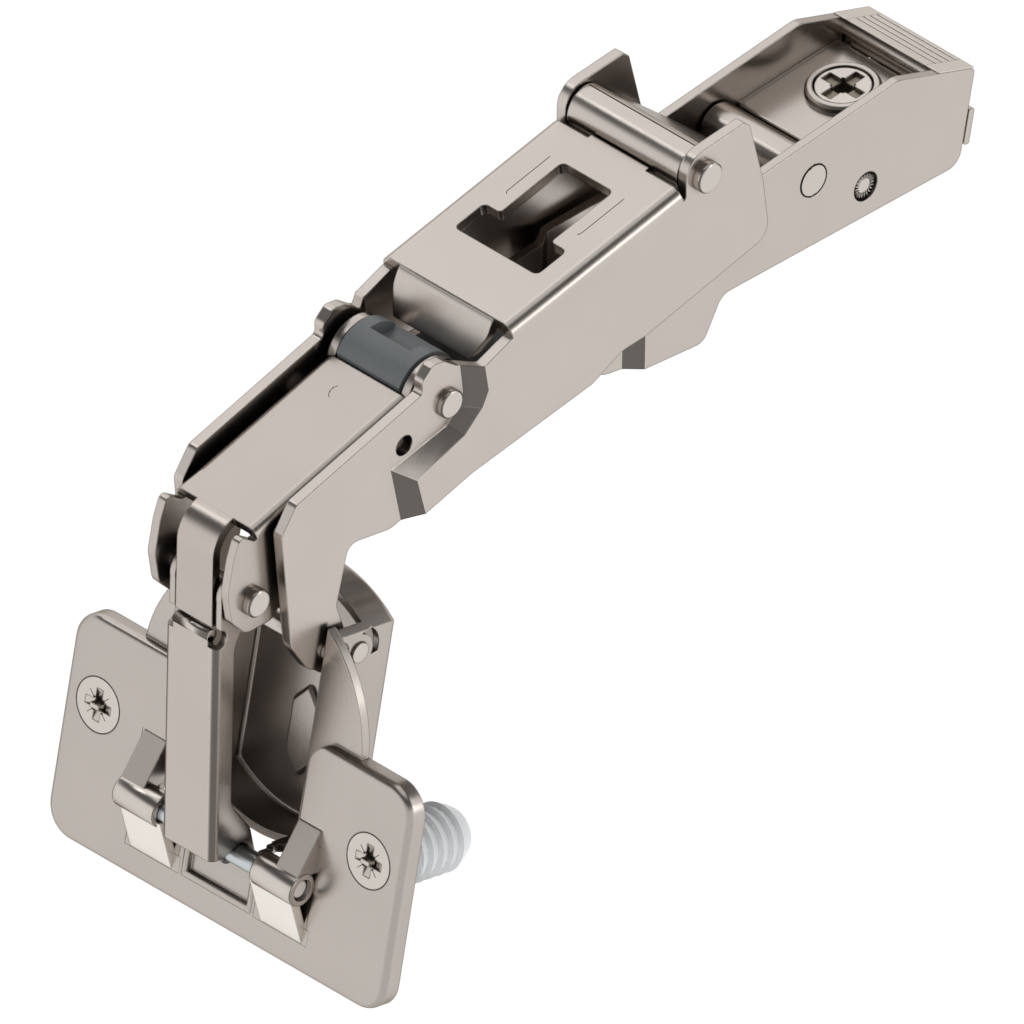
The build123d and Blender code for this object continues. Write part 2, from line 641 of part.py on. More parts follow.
def pin_clip():
    """Formed clip on the cup pin, between the lever's side plates."""
    ring = disc(cup_pin_place(), 1.85) - disc(cup_pin_place(), CUP_PIN_R + PIN_FIT)
    x, z = cup_pin_place()
    open_side = Pos(x - 3, z + 1.3) * Rectangle(6, 4)
    return across(ring - open_side, 2.9)


def leg_pin():
    """Pin through the two legs, held in the cup's side walls."""
    return across(disc(LEG_PIVOT, LEG_PIN_R), CUP_HALF - 0.05)


def flange_screws():
    """Two countersunk cross-recess screws, flush with the flange."""
    head = Pos(0, 0, -0.2) * Cylinder(SCREW_HEAD_R, 0.4)
    cone = Pos(0, 0, -0.8) * Cone(SCREW_SHANK_R, SCREW_HEAD_R, 0.8)
    shank = Pos(0, 0, -11.0) * Cylinder(SCREW_SHANK_R, 10, align=(Align.CENTER, Align.CENTER, Align.MIN))
    cross = Box(4.2, 1.1, 1.4) + Box(1.1, 4.2, 1.4) + Box(1.8, 1.8, 3.6)
    screw = head + cone + shank - cross
    return CUP_PLANE * (Pos(-SCREW_ACROSS, 0, 0) * screw + Pos(SCREW_ACROSS, 0, 0) * screw)


def dowels():
    """Two barbed dowels behind the flange, turned profiles bored for the screws."""
    collar = 1.6
    tooth = 1.7
    count = 6
    bore = SCREW_SHANK_R + PIN_FIT
    points = [(bore, 0.0), (DOWEL_R, 0.0), (DOWEL_R, -collar)]
    for ring in range(count):
        points.append((DOWEL_R + 0.35, -collar - tooth * ring - 0.3))
        points.append((DOWEL_R - 0.25, -collar - tooth * (ring + 1)))
    points.append((DOWEL_R - 0.8, -DOWEL_LENGTH))
    points.append((bore, -DOWEL_LENGTH))
    turned = Plane.XZ * make_face(Polyline(*points, close=True))
    dowel = Pos(0, 0, -FLANGE_SHEET - 0.05) * revolve(turned, axis=Axis.Z)
    return CUP_PLANE * (Pos(-SCREW_ACROSS, 0, 0) * dowel + Pos(SCREW_ACROSS, 0, 0) * dowel)


PIECES = [
    arm_channel,
    base_slide,
    depth_screw,
    latch_pin,
    clip_lever,
    lever_spring,
    arm_pin,
    inner_link,
    ear_pin,
    outer_channel,
    middle_pin,
    middle_channel,
    bearing_sleeve,
    nose_pin,
    lever_pin,
    cup_lever,
    cup_shell,
    cup_pin,
    pin_clip,
    leg_pin,
    wall_rivets,
    flange_screws,
    dowels,
]

for piece in PIECES:
    export_step(piece(), f"parts/{piece.__name__}.step")
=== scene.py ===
from math import cos, pi, radians, sin

import bmesh
import bpy
from mathutils import Matrix, Vector


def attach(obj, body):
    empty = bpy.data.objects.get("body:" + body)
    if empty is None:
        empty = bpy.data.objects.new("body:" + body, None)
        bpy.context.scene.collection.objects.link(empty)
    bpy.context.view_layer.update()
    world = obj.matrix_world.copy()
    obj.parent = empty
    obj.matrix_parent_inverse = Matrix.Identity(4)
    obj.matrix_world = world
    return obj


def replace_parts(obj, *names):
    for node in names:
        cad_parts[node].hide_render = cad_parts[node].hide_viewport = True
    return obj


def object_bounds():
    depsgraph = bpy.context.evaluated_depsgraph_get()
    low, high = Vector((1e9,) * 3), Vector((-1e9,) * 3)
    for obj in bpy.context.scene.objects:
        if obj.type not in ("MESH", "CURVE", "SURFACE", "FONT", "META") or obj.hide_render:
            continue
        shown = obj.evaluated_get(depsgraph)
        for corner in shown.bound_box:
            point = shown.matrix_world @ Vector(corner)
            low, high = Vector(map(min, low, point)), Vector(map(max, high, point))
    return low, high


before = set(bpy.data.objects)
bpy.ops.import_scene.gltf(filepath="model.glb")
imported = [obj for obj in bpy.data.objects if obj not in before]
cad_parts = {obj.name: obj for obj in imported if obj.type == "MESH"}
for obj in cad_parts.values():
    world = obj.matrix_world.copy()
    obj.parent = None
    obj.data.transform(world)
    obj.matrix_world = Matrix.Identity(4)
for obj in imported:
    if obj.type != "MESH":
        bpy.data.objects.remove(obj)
cad_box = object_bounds()

# Camera, an isometric product view of the open hinge with parallel rays.
# It stands off the cup's end of the hinge, to one side and above.
VIEW_WIDTH = 0.12047
VIEW_DISTANCE = 0.6
TOWARDS_CAMERA = Vector((-0.5903, -0.5774, 0.5641))
PICTURE_UP = Vector((-0.0227, 0.0, 0.9997))
LOOK_AT = Vector((-0.04396, 0.0, -0.0232))
camera_data = bpy.data.cameras.new("camera")
camera_data.type = "ORTHO"
camera_data.ortho_scale = VIEW_WIDTH
camera_data.clip_end = 5.0
camera = bpy.data.objects.new("camera", camera_data)
bpy.context.scene.collection.objects.link(camera)
back = TOWARDS_CAMERA.normalized()
right = PICTURE_UP.cross(back).normalized()
up = back.cross(right)
turn = Matrix((right, up, back)).transposed().to_4x4()
camera.matrix_world = Matrix.Translation(LOOK_AT + back * VIEW_DISTANCE) @ turn
bpy.context.scene.camera = camera
bpy.context.scene.view_settings.view_transform = "Standard"

# Plain pale floor below the hinge, wide enough to be the picture's ground.
# It is white by its own colour and keeps the hinge's soft shadow.
FLOOR_HALF = 3.0
FLOOR_DROP = 0.035
FLOOR_WHITE = (0.86, 0.86, 0.86, 1)
GLOW_LEVEL = 1.06
GLOW_SHARE = 0.92
floor_level = cad_box[0][2] - FLOOR_DROP
floor_mesh = bmesh.new()
bmesh.ops.create_grid(floor_mesh, x_segments=1, y_segments=1, size=FLOOR_HALF)
bmesh.ops.translate(floor_mesh, verts=floor_mesh.verts, vec=(0, 0, floor_level))
floor_data = bpy.data.meshes.new("floor")
floor_mesh.to_mesh(floor_data)
floor_mesh.free()
floor = bpy.data.objects.new("floor", floor_data)
bpy.context.scene.collection.objects.link(floor)
floor_paint = bpy.data.materials.new("floor_white")
floor_paint.use_nodes = True
nodes = floor_paint.node_tree.nodes
links = floor_paint.node_tree.links
matt = nodes["Principled BSDF"]
matt.inputs["Base Color"].default_value = FLOOR_WHITE
matt.inputs["Roughness"].default_value = 0.9
glow = nodes.new("ShaderNodeEmission")
glow.inputs["Color"].default_value = (1, 1, 1, 1)
glow.inputs["Strength"].default_value = GLOW_LEVEL
mix = nodes.new("ShaderNodeMixShader")
mix.inputs["Fac"].default_value = GLOW_SHARE
links.new(matt.outputs["BSDF"], mix.inputs[1])
links.new(glow.outputs["Emission"], mix.inputs[2])
links.new(mix.outputs["Shader"], nodes["Material Output"].inputs["Surface"])
floor_data.materials.append(floor_paint)

# White studio walls and a dark ceiling with a skylight straight above.
# The ceiling gives bends and hollows their contrast in the mirror-like metal.
WALL_LEVEL = 1.0
CEILING_START = 0.30
CEILING_FULL = 0.62
CEILING_LEVEL = 0.10
SKYLIGHT_START = 0.86
SKYLIGHT_FULL = 0.94
SKYLIGHT_LEVEL = 0.85
world = bpy.data.worlds.new("studio")
bpy.context.scene.world = world
world.use_nodes = True
nodes = world.node_tree.nodes
links = world.node_tree.links
background = nodes["Background"]
background.inputs["Color"].default_value = (1, 1, 1, 1)
heading = nodes.new("ShaderNodeTexCoord")
split = nodes.new("ShaderNodeSeparateXYZ")
links.new(heading.outputs["Generated"], split.inputs["Vector"])
level = nodes.new("ShaderNodeMapRange")
level.interpolation_type = "SMOOTHSTEP"
level.inputs["From Min"].default_value = CEILING_START
level.inputs["From Max"].default_value = CEILING_FULL
level.inputs["To Min"].default_value = WALL_LEVEL
level.inputs["To Max"].default_value = CEILING_LEVEL
links.new(split.outputs["Z"], level.inputs["Value"])
skylight = nodes.new("ShaderNodeMapRange")
skylight.interpolation_type = "SMOOTHSTEP"
skylight.inputs["From Min"].default_value = SKYLIGHT_START
skylight.inputs["From Max"].default_value = SKYLIGHT_FULL
skylight.inputs["To Min"].default_value = 0.0
skylight.inputs["To Max"].default_value = SKYLIGHT_LEVEL
links.new(split.outputs["Z"], skylight.inputs["Value"])
brighter = nodes.new("ShaderNodeMath")
brighter.operation = "MAXIMUM"
links.new(level.outputs["Result"], brighter.inputs[0])
links.new(skylight.outputs["Result"], brighter.inputs[1])
links.new(brighter.outputs["Value"], background.inputs["Strength"])

# Soft lamps under the ceiling: a wide one behind the arm lights the webs, and
# three narrow ones draw the bright lines along the bends.
LAMP_DISTANCE = 0.9


def soft_lamp(name, heading, size, radiance):
    """Square area lamp in one direction from the hinge, facing it."""
    lamp_data = bpy.data.lights.new(name, "AREA")
    lamp_data.shape = "SQUARE"
    lamp_data.size = size
    lamp_data.energy = radiance * pi * size**2
    lamp = bpy.data.objects.new(name, lamp_data)
    place = LOOK_AT + Vector(heading).normalized() * LAMP_DISTANCE
    aim = (LOOK_AT - place).to_track_quat("-Z", "Y")
    lamp.matrix_world = Matrix.Translation(place) @ aim.to_matrix().to_4x4()
    bpy.context.scene.collection.objects.link(lamp)


soft_lamp("back_lamp", (0.30, 0.58, 0.75), 0.75, 1.0)
soft_lamp("front_lamp", (0.55, -0.82, 0.24), 0.28, 2.4)
soft_lamp("side_lamp", (0.59, -0.58, 0.56), 0.22, 1.6)
soft_lamp("top_lamp", (-0.20, 0.58, 0.79), 0.16, 2.4)

# Pressed steel pieces of the hinge, cut and bent from strip. All are plated
# with nickel to a warm satin grey after forming. The arm and its slide lie open
# to the light, so their copy gets little painted shade. The lower links lie in the
# cup's shade: the middle channel's copy is painted darker, and the cup lever's
# gets deep painted shade.
WARM_NICKEL = (0.57, 0.52, 0.48)
# near-black colour that the painted shade mixes into the nickel
PAINTED_SHADE = (0.010, 0.008, 0.006, 1)
GRAZING_TINT = (0.45, 0.42, 0.39, 1)


def nickel(name, colour, roughness, grain, reach=0.006, least=0.3, steps=0.22):
    """Nickel-plated steel, faintly mottled, with painted shade in hollows, on steps and along
    edges.
    """
    metal = bpy.data.materials.new(name)
    metal.use_nodes = True
    nodes = metal.node_tree.nodes
    links = metal.node_tree.links
    surface = nodes["Principled BSDF"]
    surface.inputs["Metallic"].default_value = 1.0
    surface.inputs["Specular Tint"].default_value = GRAZING_TINT
    place = nodes.new("ShaderNodeTexCoord")
    mottle = nodes.new("ShaderNodeTexNoise")
    mottle.inputs["Scale"].default_value = 90.0
    mottle.inputs["Detail"].default_value = 4.0
    links.new(place.outputs["Object"], mottle.inputs["Vector"])
    tone = nodes.new("ShaderNodeMix")
    tone.data_type = "RGBA"
    tone.inputs["A"].default_value = (*[0.94 * part for part in colour], 1)
    tone.inputs["B"].default_value = (*[min(1.0, 1.05 * part) for part in colour], 1)
    links.new(mottle.outputs["Fac"], tone.inputs["Factor"])
    # steps: painted shade on faces turned between the front and the sides
    facing = nodes.new("ShaderNodeSeparateXYZ")
    links.new(place.outputs["Normal"], facing.inputs["Vector"])
    slant = nodes.new("ShaderNodeMath")
    slant.operation = "MULTIPLY"
    links.new(facing.outputs["X"], slant.inputs[0])
    links.new(facing.outputs["Y"], slant.inputs[1])
    size = nodes.new("ShaderNodeMath")
    size.operation = "ABSOLUTE"
    links.new(slant.outputs["Value"], size.inputs[0])
    step = nodes.new("ShaderNodeMapRange")
    step.interpolation_type = "SMOOTHSTEP"
    step.inputs["From Min"].default_value = 0.12
    step.inputs["From Max"].default_value = 0.45
    step.inputs["To Min"].default_value = 1.0
    step.inputs["To Max"].default_value = steps
    links.new(size.outputs["Value"], step.inputs["Value"])
    # hollows: painted shade where other metal closes in
    hollow = nodes.new("ShaderNodeAmbientOcclusion")
    hollow.samples = 8
    hollow.inputs["Distance"].default_value = reach
    shade = nodes.new("ShaderNodeMapRange")
    shade.inputs["From Min"].default_value = 0.12
    shade.inputs["From Max"].default_value = 0.8
    shade.inputs["To Min"].default_value = least
    shade.inputs["To Max"].default_value = 1.0
    links.new(hollow.outputs["AO"], shade.inputs["Value"])
    # edges: painted shade, a fine dark line where the rounded normal leaves the face's own
    rounded = nodes.new("ShaderNodeBevel")
    rounded.samples = 6
    rounded.inputs["Radius"].default_value = 0.00028
    face = nodes.new("ShaderNodeNewGeometry")
    corner = nodes.new("ShaderNodeVectorMath")
    corner.operation = "DOT_PRODUCT"
    links.new(rounded.outputs["Normal"], corner.inputs[0])
    links.new(face.outputs["Normal"], corner.inputs[1])
    line = nodes.new("ShaderNodeMapRange")
    line.inputs["From Min"].default_value = 0.74
    line.inputs["From Max"].default_value = 0.97
    line.inputs["To Min"].default_value = 0.5
    line.inputs["To Max"].default_value = 1.0
    links.new(corner.outputs["Value"], line.inputs["Value"])
    # the three together say how little painted shade the colour gets
    both = nodes.new("ShaderNodeMath")
    both.operation = "MULTIPLY"
    links.new(step.outputs["Result"], both.inputs[0])
    links.new(shade.outputs["Result"], both.inputs[1])
    unshaded = nodes.new("ShaderNodeMath")
    unshaded.operation = "MULTIPLY"
    links.new(both.outputs["Value"], unshaded.inputs[0])
    links.new(line.outputs["Result"], unshaded.inputs[1])
    shade_mix = nodes.new("ShaderNodeMix")
    shade_mix.data_type = "RGBA"
    shade_mix.inputs["A"].default_value = PAINTED_SHADE
    links.new(unshaded.outputs["Value"], shade_mix.inputs["Factor"])
    links.new(tone.outputs["Result"], shade_mix.inputs["B"])
    links.new(shade_mix.outputs["Result"], surface.inputs["Base Color"])
    polish = nodes.new("ShaderNodeMapRange")
    polish.inputs["To Min"].default_value = roughness - 0.05
    polish.inputs["To Max"].default_value = roughness + 0.07
    links.new(mottle.outputs["Fac"], polish.inputs["Value"])
    links.new(polish.outputs["Result"], surface.inputs["Roughness"])
    # satin grain on top of the rounded edges
    speckle = nodes.new("ShaderNodeTexNoise")
    speckle.inputs["Scale"].default_value = 2600.0
    speckle.inputs["Detail"].default_value = 3.0
    links.new(place.outputs["Object"], speckle.inputs["Vector"])
    relief = nodes.new("ShaderNodeBump")
    relief.inputs["Strength"].default_value = grain
    relief.inputs["Distance"].default_value = 0.00002
    links.new(speckle.outputs["Fac"], relief.inputs["Height"])
    links.new(rounded.outputs["Normal"], relief.inputs["Normal"])
    links.new(relief.outputs["Normal"], surface.inputs["Normal"])
    return metal


def finish_node(name, finish):
    """Gives a frame node its finish."""
    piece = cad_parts[name]
    piece.data.materials.clear()
    piece.data.materials.append(finish)


plated_sheet = nickel("nickel_sheet", WARM_NICKEL, 0.24, 0.2)
for name in ("outer_channel", "inner_link", "clip_lever"):
    finish_node(name, plated_sheet)
# copy with little painted shade, for the parts open to the light
lit_sheet = nickel("nickel_lit", (0.56, 0.51, 0.47), 0.24, 0.2, reach=0.002, least=0.7)
for name in ("arm_channel", "base_slide"):
    finish_node(name, lit_sheet)
# copy painted darker, as painted shade under the cup
shaded_lower_sheet = nickel("nickel_lower_shaded", (0.525, 0.475, 0.435), 0.24, 0.2)
finish_node("middle_channel", shaded_lower_sheet)
# copy with deep, far-reaching painted shade, as the cup shades the lever
shaded_lever_sheet = nickel("nickel_lever_shaded", (0.54, 0.49, 0.45), 0.24, 0.2, reach=0.016, least=0.1)
finish_node("cup_lever", shaded_lever_sheet)

# Pins, rivets and screws, turned or headed from steel wire.
# They are plated with the same nickel, a little brighter than the sheet.
plated_pin = nickel("nickel_pin", (0.62, 0.57, 0.53), 0.2, 0.12, reach=0.004, least=0.55)
for name in ("latch_pin", "arm_pin", "ear_pin", "middle_pin", "nose_pin"):
    finish_node(name, plated_pin)
for name in ("lever_pin", "leg_pin", "wall_rivets", "depth_screw", "flange_screws"):
    finish_node(name, plated_pin)

# The cup pin, its clip and the release lever's leaf spring.
# They are plated with zinc, which looks cold and bluish beside the nickel.
zinc = nickel("zinc_blue", (0.58, 0.62, 0.64), 0.3, 0.2)
for name in ("cup_pin", "pin_clip", "lever_spring"):
    finish_node(name, zinc)

# Two scribed lines beside the window of the outer channel's web, each ending in
# a small hook where the tool ran out. They are thin dark strips on the web.
LINE_HEIGHT = 0.03
LINE_WIDTH = 0.09
LINE_ACROSS = 6.15
LINE_SPAN = (16.6, 23.8)
HOOK_R = 0.5
HOOK_WIDTH = 0.07
OUTER_WEB = ((-55.7, 13.9), 12.4)
mark_dark = nickel("mark_dark", (0.10, 0.09, 0.08), 0.5, 0.1)


def add_piece(name, shape, finish, body):
    """Turns a finished bmesh into a piece that rides on one body."""
    bmesh.ops.recalc_face_normals(shape, faces=shape.faces)
    data = bpy.data.meshes.new(name)
    shape.to_mesh(data)
    shape.free()
    data.materials.append(finish)
    piece = bpy.data.objects.new(name, data)
    bpy.context.scene.collection.objects.link(piece)
    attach(piece, body)
    return piece


def plane_at(corner, slope):
    """Plane through a corner (x, z) in mm, rising towards the arm by degrees."""
    spin = Matrix.Rotation(radians(-slope), 4, "Y")
    return Matrix.Translation((corner[0] / 1000, 0, corner[1] / 1000)) @ spin


def add_strip(shape, place, points, width, height):
    """Flat strip along points (along, across) in mm on a plane."""
    for start, stop in zip(points, points[1:]):
        start = Vector((*start, 0)) / 1000
        stop = Vector((*stop, 0)) / 1000
        run = stop - start
        turn = run.to_track_quat("X", "Z").to_matrix().to_4x4()
        size = Matrix.Diagonal((run.length + width / 1000, width / 1000, height / 1000, 1))
        middle = Matrix.Translation((start + stop) / 2)
        bmesh.ops.create_cube(shape, size=1.0, matrix=place @ middle @ turn @ size)


def add_arc(shape, place, centre, radius, start, stop, width, height):
    """Strip along an arc, from one angle in degrees to another."""
    steps = max(4, int(abs(stop - start) / 12))
    points = []
    for index in range(steps + 1):
        angle = radians(start + (stop - start) * index / steps)
        points.append((centre[0] + radius * cos(angle), centre[1] + radius * sin(angle)))
    add_strip(shape, place, points, width, height)


outer_web = plane_at(*OUTER_WEB)
lines = bmesh.new()
for side in (-1, 1):
    across = side * LINE_ACROSS
    line = [(along, across) for along in LINE_SPAN]
    hook = (LINE_SPAN[0], across - side * HOOK_R)
    add_strip(lines, outer_web, line, LINE_WIDTH, LINE_HEIGHT)
    add_arc(lines, outer_web, hook, HOOK_R, side * 90, side * 150, HOOK_WIDTH, LINE_HEIGHT)
add_piece("web_lines", lines, mark_dark, "outer_channel")

# One short curved punch mark on the middle channel's web.
# It is a thin dark strip on the web, like the scribed lines.
MIDDLE_WEB = ((-93.9, 0.95), 15.93)
MARK_CENTRE = (22.0, 0.6)
MARK_R = 1.3
MARK_ANGLES = (55, 150)
MARK_WIDTH = 0.08
middle_web = plane_at(*MIDDLE_WEB)
mark = bmesh.new()
add_arc(mark, middle_web, MARK_CENTRE, MARK_R, *MARK_ANGLES, MARK_WIDTH, LINE_HEIGHT)
add_piece("web_mark", mark, mark_dark, "middle_channel")

# The cup and its flange, drawn from one sheet. Their nickel is painted a little
# darker than the links' as painted shade. They keep their solid's shape up to the
# flange's front face, and the pin bridges in front of it are made as pieces of their own below.
FLANGE_TILT = 10.0
FLANGE_CENTRE = (-0.09, 0, -0.0401)
FRONT_LIFT = 0.00002
CREASE = 0.45
tilt = radians(FLANGE_TILT)
across_up_out = ((0.0, sin(tilt), -cos(tilt)), (-1.0, 0.0, 0.0), (0.0, cos(tilt), sin(tilt)))
flange_plane = Matrix.Translation(FLANGE_CENTRE) @ Matrix(across_up_out).to_4x4()
# the cup's copy: painted darker as painted shade, its painted shade in hollows reaching further
shaded_cup_nickel = nickel(
    "nickel_cup_shaded", (0.50, 0.455, 0.42), 0.24, 0.2, reach=0.012, least=0.55, steps=0.8
)
cup = bmesh.new()
cup.from_mesh(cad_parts["cup_shell"].data)
bmesh.ops.remove_doubles(cup, verts=cup.verts, dist=1e-6)
front = flange_plane @ Vector((0, 0, FRONT_LIFT))
facing = flange_plane.to_3x3() @ Vector((0, 0, 1))
everything = cup.verts[:] + cup.edges[:] + cup.faces[:]
bmesh.ops.bisect_plane(cup, geom=everything, plane_co=front, plane_no=facing, clear_outer=True)
for face in cup.faces:
    face.smooth = True
for edge in cup.edges:
    edge.smooth = edge.calc_face_angle(0.0) < CREASE
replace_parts(add_piece("cup_body", cup, shaded_cup_nickel, "cup"), "cup_shell")

# Pin bridges of the flange: a rolled eye round the cup pin, with a ramp above
# it and a flap below it, pressed up from the sheet, which runs on under them.
EYE = (-7.0, 1.95)
EYE_R = 2.15
EYE_BORE = 1.42
EYE_SPAN = (8.0, 14.85)
RAMP_SPAN = (11.0, 14.7)
RAMP_SIDE = [(-6.1, 3.45), (0.4, 0.1), (0.4, -0.6), (-5.2, -0.6), (-5.4, 1.2)]
LOWER_FLOOR = ((6.0, 15.2), (-15.3, -7.2))
UPPER_FLOOR = ((11.2, 15.2), (-7.3, 0.8))
FLOOR_LOW = -1.0
FLOOR_HIGH = -0.01


def add_block(shape, place, low, high, round_off):
    """Box between two corners in mm on a plane, its edges rounded."""
    low = Vector(low) / 1000
    high = Vector(high) / 1000
    size = Matrix.Diagonal((*(high - low), 1))
    middle = Matrix.Translation((low + high) / 2)
    made = bmesh.ops.create_cube(shape, size=1.0, matrix=place @ middle @ size)
    edges = list({edge for vert in made["verts"] for edge in vert.link_edges})
    bmesh.ops.bevel(
        shape,
        geom=edges,
        offset=round_off / 1000,
        segments=2,
        profile=0.5,
        affect="EDGES",
        material=-1,
    )


def add_prism(shape, place, points, start, stop):
    """Solid of one outline (second, third axis, in mm), drawn along the first axis."""
    verts = [shape.verts.new(place @ (Vector((start, *point)) / 1000)) for point in points]
    face = shape.faces.new(verts)
    made = bmesh.ops.extrude_face_region(shape, geom=[face])
    moved = [item for item in made["geom"] if isinstance(item, bmesh.types.BMVert)]
    shift = place.to_3x3() @ Vector(((stop - start) / 1000, 0, 0))
    bmesh.ops.translate(shape, verts=moved, vec=shift)


def add_tube(shape, place, centre, start, stop, bore, radius):
    """Tube along the first axis, its outer corners rounded off."""
    soft = 0.25
    half_soft = 0.07
    ring = [(start, bore), (start, radius - soft), (start + half_soft, radius - half_soft)]
    ring += [(start + soft, radius), (stop - soft, radius), (stop - half_soft, radius - half_soft)]
    ring += [(stop, radius - soft), (stop, bore)]
    verts = []
    for along, out in ring:
        corner = Vector((along, centre[0], centre[1] + out)) / 1000
        verts.append(shape.verts.new(place @ corner))
    edges = [shape.edges.new(ends) for ends in zip(verts, verts[1:] + verts[:1])]
    axis = place.to_3x3() @ Vector((1, 0, 0))
    middle = place @ (Vector((0, *centre)) / 1000)
    bmesh.ops.spin(
        shape, geom=verts + edges, cent=middle, axis=axis, angle=2 * pi, steps=48, use_merge=True
    )
    for face in shape.faces:
        if abs(face.normal.dot(axis)) < 0.9 and len(face.verts) == 4:
            face.smooth = True


eyes = bmesh.new()
ramps = bmesh.new()
floors = bmesh.new()
for side in (-1, 1):
    inner, outer = sorted((side * EYE_SPAN[0], side * EYE_SPAN[1]))
    add_tube(eyes, flange_plane, EYE, inner, outer, EYE_BORE, EYE_R)
    add_prism(ramps, flange_plane, RAMP_SIDE, side * RAMP_SPAN[0], side * RAMP_SPAN[1])
    for across, (bottom, top) in (LOWER_FLOOR, UPPER_FLOOR):
        inner, outer = sorted((side * across[0], side * across[1]))
        corner = (outer, top, FLOOR_HIGH)
        add_block(floors, flange_plane, (inner, bottom, FLOOR_LOW), corner, 0.05)
add_piece("bridge_eyes", eyes, plated_pin, "cup")
add_piece("bridge_ramps", ramps, shaded_cup_nickel, "cup")
add_piece("bridge_floors", floors, shaded_cup_nickel, "cup")

# The bridges' flaps below the eyes, bent down to the flange.
# Their nickel is painted near white, a painted highlight.
FLAP_SPAN = (7.4, 14.2)
FLAP_SIDE = [(-8.1, 3.3), (-14.6, 0.15), (-14.9, 0.0), (-14.9, -0.9), (-13.6, -0.7), (-7.9, 2.0)]
flap_highlight = nickel("highlight_nickel", (0.97, 0.92, 0.86), 0.3, 0.1, least=0.8)
flaps = bmesh.new()
for side in (-1, 1):
    add_prism(flaps, flange_plane, FLAP_SIDE, side * FLAP_SPAN[0], side * FLAP_SPAN[1])
add_piece("bridge_flaps", flaps, flap_highlight, "cup")

# The cup pin's ends carry a painted highlight inside the eyes, near white.
# Each is a thin disc on the pin's end face.
PIN_END = 14.36
PIN_END_R = 1.12
PIN_END_HEIGHT = 0.16
pin_end_highlight = nickel("pin_end_highlight", (0.96, 0.97, 0.98), 0.15, 0.05, least=0.9)
ends = bmesh.new()
for side in (-1, 1):
    seat = Matrix.Translation(Vector((side * PIN_END, *EYE)) / 1000)
    bmesh.ops.create_cone(
        ends,
        cap_ends=True,
        segments=32,
        radius1=PIN_END_R / 1000,
        radius2=PIN_END_R / 1000,
        depth=PIN_END_HEIGHT / 1000,
        matrix=flange_plane @ seat @ Matrix.Rotation(pi / 2, 4, "Y"),
    )
add_piece("pin_ends", ends, pin_end_highlight, "cup")

# Below the lever's foot the flange is pressed back into a shallow tray.
# A raised bead runs round its two sides and its lower end.
TRAY_LOW = (-5.6, -14.3, -2.2)
TRAY_HIGH = (5.6, -9.4, -0.55)
BEAD_ACROSS = (4.9, 5.9)
BEAD_FOOT = -14.6
END_BEAD = (-15.0, -13.9)
BEAD_LOW = -1.9
BEAD_HIGH = 0.18
BEAD_SOFT = 0.4
tray = bmesh.new()
add_block(tray, flange_plane, TRAY_LOW, TRAY_HIGH, 0.1)
for side in (-1, 1):
    inner, outer = sorted((side * BEAD_ACROSS[0], side * BEAD_ACROSS[1]))
    corner = (outer, TRAY_HIGH[1], BEAD_HIGH)
    add_block(tray, flange_plane, (inner, BEAD_FOOT, BEAD_LOW), corner, BEAD_SOFT)
near = (-BEAD_ACROSS[1], END_BEAD[0], BEAD_LOW)
far = (BEAD_ACROSS[1], END_BEAD[1], BEAD_HIGH)
add_block(tray, flange_plane, near, far, BEAD_SOFT)
add_piece("flange_tray", tray, shaded_cup_nickel, "cup")

# Facets inside the cross recesses of the flange screws, sloping to a low middle,
# and the floors of the depth screw's wings, cold-pressed with the heads. The
# wing floors are painted dark brown as painted shade.
SCREW_ACROSS = 22.5
FACET_TILT = 22.0
FACET_PLACE = (0.0015, 0, -0.00034)
FACET_SIZE = (0.0013, 0.00104, 0.0002)
CENTRE_HALF = 0.4
CENTRE_WIDTH = 0.6
CENTRE_DEPTH = 1.3
SCREW_SEAT = ((10.4, 11.25), 4.6)
SCREW_LIFT = 0.00019
WING_SPAN = (1.75, 2.15)
WING_WIDTH = 1.38
WING_HEIGHT = 0.1
recess_nickel = nickel("recess_nickel", (0.60, 0.56, 0.51), 0.3, 0.1, least=0.85, steps=1.0)
# dark brown standing in for the shade deep in the depth screw's wings
recess_painted_shade = nickel("recess_painted_shade", (0.30, 0.26, 0.21), 0.4, 0.1, least=0.9, steps=1.0)
facets = bmesh.new()
wings = bmesh.new()
screw_top = plane_at(*SCREW_SEAT) @ Matrix.Translation((0, 0, SCREW_LIFT))
slope = Matrix.Translation(FACET_PLACE) @ Matrix.Rotation(radians(-FACET_TILT), 4, "Y")
facet = Matrix.Diagonal((*FACET_SIZE, 1))
wing = [(along, 0) for along in WING_SPAN]
for index in range(4):
    quarter = Matrix.Rotation(pi / 2 * index, 4, "Z")
    for side in (-1, 1):
        seat = flange_plane @ Matrix.Translation((side * SCREW_ACROSS / 1000, 0, 0))
        bmesh.ops.create_cube(facets, size=1.0, matrix=seat @ quarter @ slope @ facet)
    add_strip(wings, screw_top @ quarter, wing, WING_WIDTH, WING_HEIGHT)
for side in (-1, 1):
    middle = side * SCREW_ACROSS
    centre = [(middle - CENTRE_HALF, 0), (middle + CENTRE_HALF, 0)]
    add_strip(facets, flange_plane, centre, CENTRE_WIDTH, CENTRE_DEPTH)
add_piece("recess_facets", facets, recess_nickel, "cup")
add_piece("recess_shade_floors", wings, recess_painted_shade, "depth_adjuster")

# The arm's rear cover is pressed with four fine grooves for the thumb.
# Its front edge is a sharp lip over the depth screw's hollow.
COVER = ((17.45, 14.62), -18.3)
COVER_LENGTH = 6.2
COVER_LOW = -0.1
COVER_HIGH = 0.16
GROOVE_START = 1.70
GROOVE_STEP = 1.21
GROOVE_HALF = 0.11
GROOVE_SPAN = 6.6
EDGE_ACROSS = (6.55, 8.75)
